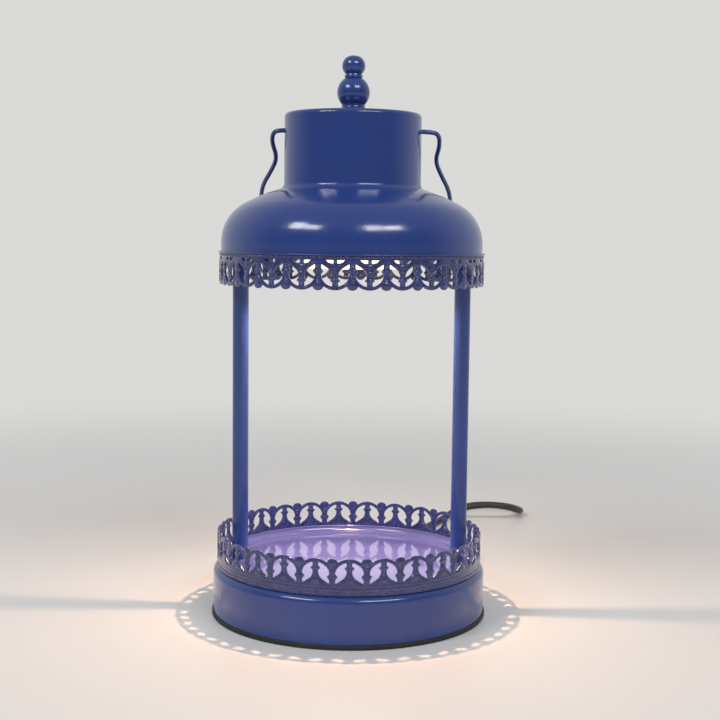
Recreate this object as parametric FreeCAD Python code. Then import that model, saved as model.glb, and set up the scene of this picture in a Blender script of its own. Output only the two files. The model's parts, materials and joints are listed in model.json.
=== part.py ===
import FreeCAD, Part
import math
import os

# Candle warmer lamp: a lantern of two posts between a round base and a bell-shaped shade.
# Millimetres, +Z up, origin at the centre of the foot's underside. The posts stand on the X axis.

Vec = FreeCAD.Vector

# Base
foot_overhang = 0.8
foot_height = 2.6
foot_edge_low = 0.5
foot_edge_high = 0.9
drum_radius = 72.2
drum_height = 23.4
drum_wall = 1.0
drum_corner = 3.5
plate_thickness = 1.2
plate_clearance = 0.4
ballast_radius = 44.0
ballast_bore = 10.0
ballast_height = 8.0
pillar_radius = 4.0
pillar_circle = 50.0
ballast_screw_circle = 30.0
screw_radius = 2.0
screw_hole_clearance = 0.2
screw_head_radius = 3.6
screw_head_height = 1.6
screw_access_radius = 4.5
screw_end_gap = 1.0
cover_tap_depth = 10.0
ballast_skin = 1.5
channel_start = 22.0
channel_half = 3.6

# Tray that the candle stands on
tray_inset = 3.1
tray_height = 4.8
tray_wall = 1.0
tray_cove = 3.5
tray_lip_round = 0.45

# Posts
post_radius = 4.25
post_bore = 2.3
post_inset = 10.62
post_length = 169.0
post_seat = 0.3
thread_radius = 3.5
thread_clearance = 0.1
lower_thread_length = 9.0
upper_thread_length = 8.0
nut_across_flats = 11.0
nut_height = 4.0

# Fretwork strip: bands, rings and balusters, heights counted from the edge with the beads
cell_count = 26
strip_thickness = 0.9
strip_height = 18.7
band_height = 4.1
window_height = 2.2
window_inner = 0.8
window_outer = 5.0
ring_low = 9.2
ring_high = 14.0
ring_bore = 7.7
ring_outer = 9.35
ring_window_lap = 0.5
leaf_radius = 1.1
baluster_leaf_reach = 0.8
baluster_leaf_drop = 0.3
post_leaf_reach = 0.6
post_leaf_lift = 0.4
bud_tip_half = 0.25
bud_half = 3.2
bud_height = 2.3
strip_gap = 0.05
base_strip_lift = 0.1
base_strip_phase = -87.71
shade_strip_phase = -94.58
cell_creep = 4.78
shade_strip_trim = 2.1
shade_strip_inset = 0.8

# Shade, heights counted from the lip's underside
lip_drop = 4.8
lip_reach = 1.5
lip_thickness = 0.8
lip_round = 0.35
shade_inset = 3.8
shade_wall = 0.8
shoulder_rise = 19.2
shoulder_round = 23.0
slope_inset = 20.94
slope_rise = 30.35
slope_round = 95.0
neck_radius = 35.7
neck_foot_rise = 33.9
neck_fillet = 3.2
neck_rise = 72.5
neck_round = 2.2

# Cross strap inside the shade
strap_width = 16.0
strap_thickness = 2.0
strap_tab_height = 7.0
strap_tab_depth = 1.6
strap_ring_bore = 27.0
strap_ring_radius = 33.0

# Bulb and its holder
bulb_radius = 25.0
bulb_rim_height = 3.5
bulb_rim_round = 3.0
bulb_waist_radius = 18.0
bulb_waist_height = 19.0
bulb_waist_round = 30.0
bulb_neck_radius = 11.0
bulb_neck_height = 28.0
bulb_collar = 1.0
bulb_collar_height = 6.0
bulb_base_height = 14.5
bulb_glass = 1.0
lens_thickness = 2.0
lens_gap = 0.1
capsule_radius = 4.5
capsule_round = 3.5
capsule_lift = 8.0
pin_spacing = 10.0
pin_radius = 1.6
pin_foot_radius = 2.4
pin_foot_height = 2.5
pin_length = 7.5
pin_clearance = 0.3
holder_radius = 13.5
holder_height = 22.0
bracket_width = 14.0
bracket_height = 11.4
bracket_reach = 22.0
bracket_thickness = 1.2
bracket_inset = 5.0
holder_screw_radius = 1.5
holder_screw_head = 2.7
holder_screw_head_height = 1.6
holder_tap_depth = 6.0

# Finial and its stud
finial_height = 29.8
finial_cap_radius = 3.6
finial_cap_drop = 0.9
stud_radius = 2.5
stud_clearance = 0.2
stud_in_finial = 9.0
stud_below = 7.0
stud_nut_flats = 8.0
stud_nut_height = 4.0

# Bail handle, drawn in its own plane: across, then away from the pivot
bail_wire = 1.2
bail_pivot_drop = 9.0
bail_clearance = 0.05
bail_rest_gap = 0.3
bail_head_radius = 2.2
bail_head_thickness = 1.0
bail_head_gap = 0.3
bail_corners = [(46.5, 0.0, 5.0), (44.3, 21.5, 14.0), (52.9, 49.0, 24.0), (52.9, 80.0, 26.0)]
bail_crown = 90.0
bail_crown_round = 80.0

# Dimmer on the rear wall of the drum
dimmer_height = 13.0
dimmer_width = 24.0
dimmer_depth = 16.0
dimmer_tall = 17.0
dimmer_setback = 2.2
bushing_radius = 4.5
bushing_length = 4.5
dimmer_nut_flats = 12.0
dimmer_nut_height = 1.8
shaft_radius = 3.0
shaft_clearance = 0.05
shaft_length = 17.0
knob_radius = 8.5
knob_length = 11.0
knob_gap = 0.8
knob_round = 1.2
flute_count = 18
flute_radius = 0.7
flute_start = 1.5
pointer_width = 1.0
pointer_depth = 0.5
pointer_margin = 1.6

# Cord, from the rear wall to the plug
cord_radius = 2.2
exit_angle = 120.0
exit_height = 10.0
relief_length = 22.0
relief_root_radius = 4.6
relief_tip_radius = 2.9
relief_flange_radius = 5.6
relief_flange = 1.8
relief_neck_radius = 3.6
bore_clearance = 0.05
clamp_circle = 58.0
clamp_size = (15.0, 8.0)
clamp_roof = 1.6
clamp_screw_radius = 1.2
clamp_screw_spread = 5.2
block_centre = (9.0, 16.0)
block_size = (20.0, 13.0, 9.0)
block_screw_radius = 1.8
block_well_depth = 5.0
lead_radius = 0.7
lead_spacing = 1.8
lead_gap = 0.4

coil_centre = (42.0, 113.0)
coil_mean_radius = 26.0
coil_columns = 3
coil_rows = 2
coil_lift = 0.6
coil_corner = 1.9
tie_angle = 200.0
tie_width = 8.0
tie_thickness = 0.5

plug_size = (24.0, 30.0, 14.0)
plug_round = 6.0
plug_boot_length = 8.0
plug_boot_root = 5.0
plug_boot_tip = 3.0
blade_size = (1.5, 17.0, 6.3)
blade_spacing = 12.7
plug_entry = (-27.0, 128.5, 7.0)

# Route of the cord: off the relief's tip, along the floor, over itself in a low hump, round a loop,
# back under the hump and into the coil
cord_route = [
    (-53.0, 91.8, 9.2),
    (-58.0, 106.0, 5.0),
    (-59.0, 124.0, 2.3),
    (-52.0, 144.0, 2.3),
    (-36.0, 159.5, 2.3),
    (-13.0, 168.5, 2.3),
    (11.0, 171.5, 2.3),
    (32.0, 177.5, 2.3),
    (45.0, 190.0, 2.3),
    (51.8, 206.0, 2.3),
    (58.6, 219.4, 2.8),
    (67.6, 228.2, 7.2),
    (79.6, 230.4, 9.8),
    (93.0, 227.6, 11.5),
    (105.5, 230.2, 9.2),
    (113.9, 240.2, 5.0),
    (115.5, 253.4, 2.4),
    (110.0, 265.2, 2.3),
    (99.0, 272.2, 2.3),
    (86.0, 271.9, 2.3),
    (75.6, 264.6, 2.3),
    (70.8, 252.6, 2.3),
    (70.9, 238.0, 2.3),
    (70.4, 220.0, 2.3),
    (69.7, 198.0, 2.3),
    (69.0, 172.0, 2.3),
    (68.2, 149.0, 2.3),
    (71.6, 130.0, 2.6),
]
tail_route = [
    (11.3, 124.0, 6.2),
    (11.7, 136.0, 3.8),
    (10.9, 148.0, 2.4),
    (3.9, 157.6, 2.3),
    (-7.7, 161.3, 2.3),
    (-19.4, 157.6, 2.6),
    (-26.6, 147.6, 3.9),
    (-27.3, 135.0, 6.2),
]

# Heights and places that follow from the sizes above
foot_radius = drum_radius + foot_overhang
tray_radius = drum_radius - tray_inset
post_circle = tray_radius - post_inset
shade_radius = drum_radius - shade_inset
slope_radius = shade_radius - slope_inset
lip_radius = shade_radius + lip_reach
shade_strip_radius = lip_radius - shade_strip_inset
drum_top = foot_height + drum_height
drum_under_top = drum_top - drum_wall
plate_top = foot_height + plate_thickness
tray_floor = drum_top + tray_wall
strap_under = tray_floor + post_length
strap_top = strap_under + strap_thickness
shade_lip_height = strap_under - lip_drop
shoulder_height = shade_lip_height + shoulder_rise
slope_height = shade_lip_height + slope_rise
neck_foot_height = shade_lip_height + neck_foot_rise
neck_top = shade_lip_height + neck_rise
neck_under_top = neck_top - shade_wall
bail_pivot_height = neck_top - bail_pivot_drop
holder_top = neck_under_top - bracket_height
bulb_base_top = holder_top - holder_height
bulb_base_bottom = bulb_base_top - bulb_base_height
bulb_front = bulb_base_bottom - bulb_neck_height - bulb_rim_height
block_bottom = plate_top + ballast_height
lead_height = block_bottom + block_size[2] / 2


def export(node, *solids):
    shape = solids[0] if len(solids) == 1 else Part.makeCompound(list(solids))
    if not shape.isValid():
        raise ValueError(node + " is not a valid solid")
    shape.exportStep("parts/" + node + ".step")


def cylinder(radius, bottom, top, x=0.0, y=0.0):
    return Part.makeCylinder(radius, top - bottom, Vec(x, y, bottom))


def box(low, high):
    return Part.makeBox(high[0] - low[0], high[1] - low[1], high[2] - low[2], Vec(*low))


def on_circle(radius, degrees, height=0.0):
    angle = math.radians(degrees)
    return Vec(radius * math.cos(angle), radius * math.sin(angle), height)


def rod(radius, start, end):
    return Part.makeCylinder(radius, (end - start).Length, start, end - start)


def hexagon(across_flats, bottom, height, x=0.0, y=0.0):
    reach = across_flats / math.sqrt(3)
    points = [Vec(x, y, bottom) + on_circle(reach, 60 * k + 30) for k in range(7)]
    return Part.Face(Part.makePolygon(points)).extrude(Vec(0, 0, height))


def corner_arc(before, corner, after, radius):
    to_before = (before - corner).normalize()
    to_after = (after - corner).normalize()
    half_turn = (math.pi - to_before.getAngle(to_after)) / 2
    setback = radius * math.tan(half_turn)
    inward = (to_before + to_after).normalize()
    middle = corner + inward * (radius / math.cos(half_turn) - radius)
    return corner + to_before * setback, middle, corner + to_after * setback


def rounded_edges(points, radii, closed):
    count = len(points)
    arcs = []
    for k in range(count):
        if radii[k] > 0:
            arcs.append(corner_arc(points[k - 1], points[k], points[(k + 1) % count], radii[k]))
        else:
            arcs.append((points[k], points[k], points[k]))
    edges = []
    for k in range(count):
        start, middle, end = arcs[k]
        if radii[k] > 0:
            edges.append(Part.Arc(start, middle, end).toShape())
        if closed or k < count - 1:
            following = arcs[(k + 1) % count][0]
            if (following - end).Length > 1e-6:
                edges.append(Part.LineSegment(end, following).toShape())
    return edges


def turned(corners):
    # A solid of revolution about Z from (radius, height, rounding) corners
    points = [Vec(corner[0], 0, corner[1]) for corner in corners]
    radii = [corner[2] if len(corner) > 2 else 0 for corner in corners]
    face = Part.Face(Part.Wire(rounded_edges(points, radii, True)))
    return face.revolve(Vec(0, 0, 0), Vec(0, 0, 1), 360)


def inset_corners(corners, depth):
    # The same open outline moved sideways by depth, to its left, with its roundings kept concentric
    points = [Vec(corner[0], corner[1], 0) for corner in corners]
    ways = [(points[k + 1] - points[k]).normalize() for k in range(len(points) - 1)]
    sides = [Vec(-way.y, way.x, 0) for way in ways]
    moved = [points[0] + sides[0] * depth]
    radii = [0]
    for k in range(1, len(points) - 1):
        bisector = (sides[k - 1] + sides[k]).normalize()
        moved.append(points[k] + bisector * (depth / bisector.dot(sides[k])))
        left_turn = ways[k - 1].cross(ways[k]).z > 0
        rounding = corners[k][2]
        radii.append(max(rounding - depth, 0) if left_turn else rounding + depth)
    moved.append(points[-1] + sides[-1] * depth)
    radii.append(0)
    return [(point.x, point.y, radius) for point, radius in zip(moved, radii)]


def route_radii(points):
    # Each bend is as large as its two runs allow
    radii = [0]
    for k in range(1, len(points) - 1):
        before = points[k] - points[k - 1]
        after = points[k + 1] - points[k]
        half_turn = before.getAngle(after) / 2
        radii.append(0.45 * min(before.Length, after.Length) / math.tan(half_turn))
    return radii + [0]


def tube(name, radius, points):
    points = [Vec(*point) for point in points]
    radii = route_radii(points)
    wire = Part.Wire(rounded_edges(points, radii, False))
    start_way = points[1] - points[0]
    section = Part.Wire(Part.makeCircle(radius, points[0], start_way))
    solid = wire.makePipeShell([section], True, True)
    expected = math.pi * radius ** 2 * wire.Length
    print(name, "length", round(wire.Length, 1), "volume ratio", round(solid.Volume / expected, 4),
          "radii", [round(bend, 1) for bend in radii[1:-1]])
    return solid


def turned_along(start, way, corners):
    # A solid of revolution whose axis runs from start along way, from (distance, radius, rounding) corners
    solid = turned([(corner[1], corner[0]) + tuple(corner[2:]) for corner in corners])
    rotation = FreeCAD.Rotation(Vec(0, 0, 1), way)
    solid.Placement = FreeCAD.Placement(start, rotation)
    return solid


# ---- base

def screw_places():
    cover = [on_circle(pillar_circle, 45 + 90 * k) for k in range(4)]
    ballast = [on_circle(ballast_screw_circle, 180 * k) for k in range(2)]
    return cover, ballast


def screws(places, top):
    made = []
    for place in places:
        shank = cylinder(screw_radius, foot_height, top, place.x, place.y)
        head = cylinder(screw_head_radius, foot_height - screw_head_height, foot_height, place.x, place.y)
        made.append(shank.fuse(head).removeSplitter())
    return made


def make_foot():
    cover, ballast = screw_places()
    pad = turned([(0, 0), (foot_radius, 0, foot_edge_low), (foot_radius, foot_height, foot_edge_high),
                  (0, foot_height)])
    holes = [cylinder(screw_access_radius, -1, foot_height + 1, p.x, p.y) for p in cover + ballast]
    export("foot_pad", pad.cut(holes))


def make_cover():
    cover, ballast = screw_places()
    plate_radius = drum_radius - drum_wall - plate_clearance
    hole_radius = screw_radius + screw_hole_clearance
    holes = [cylinder(hole_radius, foot_height - 1, plate_top + 1, p.x, p.y) for p in cover + ballast]
    export("bottom_plate", cylinder(plate_radius, foot_height, plate_top).cut(holes))
    pillar_tap = plate_top + cover_tap_depth
    pillars = []
    for p in cover:
        pillar = cylinder(pillar_radius, plate_top, drum_under_top, p.x, p.y)
        pillars.append(pillar.cut(cylinder(screw_radius, plate_top, pillar_tap, p.x, p.y)))
    export("cover_pillars", *pillars)
    export("cover_screws", *screws(cover, pillar_tap - screw_end_gap))
    weight = cylinder(ballast_radius, plate_top, block_bottom).cut(cylinder(ballast_bore, plate_top, block_bottom))
    tap_top = block_bottom - ballast_skin
    taps = [cylinder(screw_radius, plate_top, tap_top, p.x, p.y) for p in ballast]
    channel = box((channel_start, -channel_half, exit_height - channel_half),
                  (ballast_radius + 5, channel_half, block_bottom + 5))
    channel.rotate(Vec(0, 0, 0), Vec(0, 0, 1), exit_angle)
    export("ballast", weight.cut(taps + [channel]))
    export("ballast_screws", *screws(ballast, tap_top - screw_end_gap))


def post_places():
    return [Vec(post_circle, 0, 0), Vec(-post_circle, 0, 0)]


def make_drum():
    corners = [(drum_radius, foot_height), (drum_radius, drum_top, drum_corner), (0, drum_top)]
    inside = inset_corners([(c[0], c[1], drum_corner) for c in corners], drum_wall)
    drum = turned(corners + [(0, inside[2][1])] + [inside[1], (inside[0][0], foot_height)])
    holes = [cylinder(thread_radius + thread_clearance, drum_under_top - 1, drum_top + 1, p.x, p.y)
             for p in post_places()]
    outward = on_circle(1, exit_angle)
    start = outward * (drum_radius - 10) + Vec(0, 0, exit_height)
    holes.append(rod(relief_neck_radius + bore_clearance, start, start + outward * 20))
    knob_start = Vec(0, drum_radius - 10, dimmer_height)
    holes.append(rod(bushing_radius + bore_clearance, knob_start, knob_start + Vec(0, 20, 0)))
    export("base_drum", drum.cut(holes))


def make_tray():
    rim = drum_top + tray_height
    inner = tray_radius - tray_wall
    corners = [(0, drum_top), (tray_radius, drum_top, tray_cove + tray_wall), (tray_radius, rim, tray_lip_round),
               (inner, rim, tray_lip_round), (inner, tray_floor, tray_cove), (0, tray_floor)]
    holes = [cylinder(thread_radius + thread_clearance, drum_top - 1, tray_floor + 1, p.x, p.y)
             for p in post_places()]
    seats = [cylinder(post_radius + thread_clearance, tray_floor - post_seat, tray_floor + 1, p.x, p.y)
             for p in post_places()]
    export("tray", turned(corners).cut(holes + seats))


# ---- fretwork

def flat_face(points, arcs=()):
    # A face in the local (u, w) plane, which is (Y, Z) here
    edges = [Part.LineSegment(Vec(0, *points[k]), Vec(0, *points[k + 1])).toShape() for k in range(len(points) - 1)]
    return Part.Face(Part.Wire(edges + list(arcs)))


def disc(u, w, radius):
    return Part.Face(Part.Wire(Part.makeCircle(radius, Vec(0, u, w), Vec(1, 0, 0))))


def fret_cutters(pitch):
    # Openings of the half cell between a baluster at u = 0 and a bud post at half a pitch
    half = pitch / 2
    lens = disc(0, ring_low, ring_bore).common(disc(half, ring_high, ring_bore))
    baluster_leaf = disc(half - ring_bore + baluster_leaf_reach, ring_high - baluster_leaf_drop, leaf_radius)
    post_leaf = disc(ring_bore - post_leaf_reach, ring_low + post_leaf_lift, leaf_radius)
    comma = lens.cut(baluster_leaf).cut(post_leaf)
    window_top = band_height + window_height
    window = flat_face([(window_inner, band_height), (window_outer, band_height), (window_outer, window_top),
                        (window_inner, window_top), (window_inner, band_height)])
    window = window.cut(disc(half, ring_high, ring_outer - ring_window_lap))
    above = strip_height + 1
    bud_foot = strip_height - bud_height
    crown = flat_face([(half - bud_tip_half, above), (half - bud_tip_half, strip_height),
                       (half - bud_half, bud_foot), (0, bud_foot), (0, above), (half - bud_tip_half, above)])
    return comma, window, crown.cut(disc(0, ring_low, ring_outer))


def cell_angle(cell, phase):
    # Balusters creep a little around the ring, as on a hand-bent strip
    turn = 360.0 / cell_count * cell
    return phase + turn + cell_creep * (1 - math.cos(math.radians(turn))) / 2


def fret_ring(outer_radius, phase):
    inner_radius = outer_radius - strip_thickness
    ring = cylinder(outer_radius, 0, strip_height).cut(cylinder(inner_radius, 0, strip_height))
    cutters = []
    for cell in range(cell_count):
        angle = cell_angle(cell, phase)
        for side, other in ((1, cell_angle(cell + 1, phase)), (-1, cell_angle(cell - 1, phase))):
            pitch = math.radians(abs(other - angle)) * outer_radius
            for face in fret_cutters(pitch):
                prism = face.extrude(Vec(6, 0, 0))
                if side < 0:
                    prism = prism.mirror(Vec(0, 0, 0), Vec(0, 1, 0))
                prism.translate(Vec(outer_radius - 3.5, 0, 0))
                prism.rotate(Vec(0, 0, 0), Vec(0, 0, 1), angle)
                cutters.append(prism)
    return ring.cut(cutters)


def make_galleries():
    base_radius = tray_radius + strip_gap + strip_thickness
    base = fret_ring(base_radius, base_strip_phase)
    base.translate(Vec(0, 0, drum_top + base_strip_lift))
    export("base_gallery", base)
    shade = fret_ring(shade_strip_radius, -shade_strip_phase)
    shade.rotate(Vec(0, 0, 0), Vec(1, 0, 0), 180)
    shade.translate(Vec(0, 0, shade_lip_height + shade_strip_trim))
    kept = cylinder(shade_radius * 2, shade_lip_height - strip_height - 5, shade_lip_height)
    export("shade_gallery", shade.common(kept))


# ---- posts and shade

def make_posts():
    upper = strap_under + upper_thread_length
    lower = tray_floor - lower_thread_length
    for name, place in zip(("post_right", "post_left"), post_places()):
        post = cylinder(post_radius, tray_floor - post_seat, strap_under, place.x)
        post = post.fuse([cylinder(thread_radius, lower, tray_floor, place.x),
                          cylinder(thread_radius, strap_under, upper, place.x)])
        export(name, post.cut(cylinder(post_bore, lower - 1, upper + 1, place.x)).removeSplitter())
    for name, bottom in (("post_nuts_lower", drum_under_top - nut_height), ("post_nuts_upper", strap_top)):
        nuts = [hexagon(nut_across_flats, bottom, nut_height, p.x).cut(
                cylinder(thread_radius, bottom - 1, bottom + nut_height + 1, p.x)) for p in post_places()]
        export(name, *nuts)


def shade_corners():
    return [(shade_radius, shade_lip_height, 0), (shade_radius, shoulder_height, shoulder_round),
            (slope_radius, slope_height, slope_round), (neck_radius, neck_foot_height, neck_fillet),
            (neck_radius, neck_top, neck_round), (0, neck_top, 0)]


def shade_inside():
    inside = inset_corners(shade_corners(), shade_wall)
    return turned(inside + [(0, shade_lip_height)])


def make_shade():
    outside = turned(shade_corners() + [(0, shade_lip_height)])
    lip_top = shade_lip_height + lip_thickness
    lip = turned([(shade_radius - shade_wall, shade_lip_height), (lip_radius, shade_lip_height, lip_round),
                  (lip_radius, lip_top, lip_round), (shade_radius - shade_wall, lip_top)])
    shell = outside.cut(shade_inside()).fuse(lip)
    pivot = Vec(0, 0, bail_pivot_height)
    across = Vec(neck_radius + 5, 0, 0)
    shell = shell.cut([rod(bail_wire + bail_clearance, pivot - across, pivot + across),
                       cylinder(stud_radius + stud_clearance, neck_top - 5, neck_top + 1)])
    export("shade_shell", shell.removeSplitter())


def make_strap():
    half = strap_width / 2
    arms = box((-shade_radius, -half, strap_under), (shade_radius, half, strap_top))
    ring = cylinder(strap_ring_radius, strap_under, strap_top)
    tab_top = strap_top + strap_tab_height
    tab_start = shade_radius - shade_wall - strap_tab_depth
    tabs = [box((tab_start, -half, strap_under), (shade_radius, half, tab_top)),
            box((-shade_radius, -half, strap_under), (-tab_start, half, tab_top))]
    strap = arms.fuse([ring] + tabs).common(shade_inside())
    holes = [cylinder(thread_radius + thread_clearance, strap_under - 1, strap_top + 1, p.x) for p in post_places()]
    holes.append(cylinder(strap_ring_bore, strap_under - 1, strap_top + 1))
    export("shade_strap", strap.cut(holes).removeSplitter())


# ---- bulb, holder and finial

def make_bulb():
    rim_top = bulb_front + bulb_rim_height
    neck = bulb_base_bottom
    collar_radius = bulb_neck_radius + bulb_collar
    outer = [(bulb_radius, bulb_front, 0), (bulb_radius, rim_top, bulb_rim_round),
             (bulb_waist_radius, rim_top + bulb_waist_height, bulb_waist_round), (collar_radius, neck, 0)]
    inner = inset_corners(outer, bulb_glass)
    export("bulb_reflector", turned(outer + inner[::-1]))
    lens_edge = bulb_radius - bulb_glass - lens_gap
    lens_top = bulb_front + lens_thickness
    export("bulb_lens", turned([(0, bulb_front), (lens_edge, bulb_front, lens_thickness / 5),
                                (lens_edge, lens_top), (0, lens_top)]))
    capsule_bottom = bulb_front + capsule_lift
    export("bulb_capsule", turned([(0, capsule_bottom), (capsule_radius, capsule_bottom, capsule_round),
                                   (capsule_radius, neck), (0, neck)]))
    base = turned([(0, neck), (collar_radius, neck), (bulb_neck_radius, neck + bulb_collar_height, 2.0),
                   (bulb_neck_radius, bulb_base_top, 0.8), (0, bulb_base_top)])
    export("bulb_base", base)
    pins = []
    pin_top = bulb_base_top + pin_length
    for x in (-pin_spacing / 2, pin_spacing / 2):
        shank = cylinder(pin_radius, bulb_base_top, pin_top, x)
        foot = cylinder(pin_foot_radius, pin_top - pin_foot_height, pin_top, x)
        pins.append(shank.fuse(foot).removeSplitter())
    export("bulb_pins", *pins)


def make_holder():
    body = turned([(0, bulb_base_top), (holder_radius, bulb_base_top, 1.0), (holder_radius, holder_top, 1.0),
                   (0, holder_top)])
    wells = [cylinder(pin_foot_radius + pin_clearance, bulb_base_top - 1, bulb_base_top + pin_length + 1, x)
             for x in (-pin_spacing / 2, pin_spacing / 2)]
    screw_x = (bracket_inset + holder_radius) / 2
    screw_bottom = holder_top - holder_tap_depth
    taps = [cylinder(holder_screw_radius, screw_bottom, holder_top + 1, x) for x in (-screw_x, screw_x)]
    export("lamp_holder", body.cut(wells + taps))
    half = bracket_width / 2
    flange_top = holder_top + bracket_thickness
    parts = [box((-bracket_reach, -half, neck_under_top - bracket_thickness), (bracket_reach, half, neck_under_top))]
    for side in (-1, 1):
        leg = sorted((side * bracket_reach, side * (bracket_reach - bracket_thickness)))
        parts.append(box((leg[0], -half, holder_top), (leg[1], half, neck_under_top)))
        flange = sorted((side * bracket_reach, side * bracket_inset))
        parts.append(box((flange[0], -half, holder_top), (flange[1], half, flange_top)))
    bracket = parts[0].fuse(parts[1:])
    hole_radius = holder_screw_radius + screw_hole_clearance / 2
    holes = [cylinder(hole_radius, holder_top - 1, flange_top + 1, x) for x in (-screw_x, screw_x)]
    holes.append(cylinder(stud_radius + stud_clearance, neck_under_top - 3, neck_under_top + 1))
    export("holder_bracket", bracket.cut(holes).removeSplitter())
    holder_screws = []
    for x in (-screw_x, screw_x):
        shank = cylinder(holder_screw_radius, screw_bottom + screw_end_gap / 2, flange_top, x)
        head = cylinder(holder_screw_head, flange_top, flange_top + holder_screw_head_height, x)
        holder_screws.append(shank.fuse(head).removeSplitter())
    export("holder_screws", *holder_screws)


def make_finial():
    # Heights above the neck's top: flared foot, large ball, thin ring, small ball
    def at(radius, height):
        return Vec(radius, 0, neck_top + height)

    tip = at(0, finial_height)
    cap_sphere = (finial_cap_radius ** 2 + finial_cap_drop ** 2) / (2 * finial_cap_drop)
    half_angle = math.asin(finial_cap_radius / cap_sphere) / 2
    cap_middle = at(cap_sphere * math.sin(half_angle), finial_height - cap_sphere * (1 - math.cos(half_angle)))
    cap_edge = at(finial_cap_radius, finial_height - finial_cap_drop)
    edges = [
        Part.LineSegment(at(0, 0), at(7.3, 0)),
        Part.Arc(at(7.3, 0), at(7.9, 1.1), at(7.2, 2.3)),
        Part.Arc(at(7.2, 2.3), at(6.2, 3.2), at(6.3, 4.9)),
        Part.Arc(at(6.3, 4.9), at(8.5, 10.9), at(5.2, 17.6)),
        Part.LineSegment(at(5.2, 17.6), at(4.3, 18.2)),
        Part.Arc(at(4.3, 18.2), at(4.8, 19.0), at(4.3, 19.8)),
        Part.LineSegment(at(4.3, 19.8), at(4.2, 20.2)),
        Part.Arc(at(4.2, 20.2), at(6.0, 24.9), cap_edge),
        Part.Arc(cap_edge, cap_middle, tip),
        Part.LineSegment(tip, at(0, 0)),
    ]
    face = Part.Face(Part.Wire([edge.toShape() for edge in edges]))
    finial = face.revolve(Vec(0, 0, 0), Vec(0, 0, 1), 360)
    tap_top = neck_top + stud_in_finial + 0.5
    export("finial", finial.cut(cylinder(stud_radius, neck_top - 1, tap_top)))
    under_bracket = neck_under_top - bracket_thickness
    export("finial_stud", cylinder(stud_radius, under_bracket - stud_below, neck_top + stud_in_finial))
    nut = hexagon(stud_nut_flats, under_bracket - stud_nut_height, stud_nut_height)
    export("finial_nut", nut.cut(cylinder(stud_radius, under_bracket - 10, under_bracket + 1)))


# ---- bail handle

def bail_rest_angle():
    # The crown of the bail lies against the shade's shoulder with a small gap
    half_turn = math.atan2(bail_crown - bail_corners[-1][1], bail_corners[-1][0])
    reach = bail_crown - bail_crown_round * (1 / math.cos(half_turn) - 1)
    turn = math.pi - math.atan2(slope_height - shoulder_height, slope_radius - shade_radius)
    centre_height = shoulder_height - shoulder_round * math.tan((math.pi / 2 - turn) / 2)
    centre = Vec(0, shade_radius - shoulder_round, centre_height - bail_pivot_height)
    stand_off = shoulder_round + bail_wire + bail_rest_gap
    between = (reach ** 2 + centre.Length ** 2 - stand_off ** 2) / (2 * reach * centre.Length)
    return math.degrees(math.atan2(-centre.z, centre.y) - math.acos(between))


def make_bail():
    head_x = math.sqrt((neck_radius - shade_wall) ** 2 - bail_head_radius ** 2) - bail_head_gap
    side = [(head_x, 0.0, 0.0)] + bail_corners
    outline = side + [(0.0, bail_crown, bail_crown_round)] + [(-x, s, r) for x, s, r in side[::-1]]
    points = [Vec(x, s, 0) for x, s, r in outline]
    wire = Part.Wire(rounded_edges(points, [r for x, s, r in outline], False))
    section = Part.Wire(Part.makeCircle(bail_wire, points[0], Vec(1, 0, 0)))
    handle = wire.makePipeShell([section], True, True)
    for side_sign in (-1, 1):
        start = Vec(side_sign * head_x, 0, 0)
        head = rod(bail_head_radius, start - Vec(side_sign * bail_head_thickness, 0, 0), start)
        handle = handle.fuse(head)
    handle.rotate(Vec(0, 0, 0), Vec(1, 0, 0), -bail_rest_angle())
    handle.translate(Vec(0, 0, bail_pivot_height))
    print("bail rests", round(bail_rest_angle(), 2), "degrees below level")
    export("bail_handle", handle.removeSplitter())


# ---- dimmer

def make_dimmer():
    front = drum_radius - dimmer_setback
    low = (-dimmer_width / 2, front - dimmer_depth, dimmer_height - dimmer_tall / 2)
    high = (dimmer_width / 2, front, dimmer_height + dimmer_tall / 2)
    axis_start = Vec(0, front, dimmer_height)
    outward = Vec(0, 1, 0)
    body = box(low, high).fuse(rod(bushing_radius, axis_start, axis_start + outward * bushing_length))
    shaft_inner = axis_start - outward * (dimmer_depth / 2)
    bore = rod(shaft_radius + shaft_clearance, shaft_inner, axis_start + outward * 20)
    export("dimmer_body", body.cut(bore).removeSplitter())
    nut = hexagon(dimmer_nut_flats, 0, dimmer_nut_height).cut(cylinder(bushing_radius, -1, 5))
    nut.Placement = FreeCAD.Placement(Vec(0, drum_radius + 0.1, dimmer_height), FreeCAD.Rotation(Vec(0, 0, 1), outward))
    export("dimmer_nut", nut)
    shaft_start = shaft_inner + outward * 0.5
    shaft_end = shaft_start + outward * (shaft_length + 4.0)
    export("dimmer_shaft", rod(shaft_radius, shaft_start, shaft_end))
    knob_back = axis_start + outward * (bushing_length + knob_gap)
    knob = turned_along(knob_back, outward, [(0, 0), (0, knob_radius, 0.4), (knob_length, knob_radius, knob_round),
                                             (knob_length, 0)])
    grooves = []
    for k in range(flute_count):
        around = on_circle(knob_radius + flute_radius / 3, 360.0 / flute_count * k)
        place = knob_back + Vec(around.x, 0, around.y)
        grooves.append(rod(flute_radius, place + outward * flute_start, place + outward * (knob_length + 1)))
    face_y = knob_back.y + knob_length
    pointer = box((-pointer_width / 2, face_y - pointer_depth, dimmer_height - knob_radius + pointer_margin),
                  (pointer_width / 2, face_y + 1, dimmer_height - shaft_radius))
    well = rod(shaft_radius, knob_back - outward, shaft_end)
    export("dimmer_knob", knob.cut(grooves + [pointer, well]))


# ---- wiring

def relief_axis():
    return on_circle(1, exit_angle)


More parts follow.
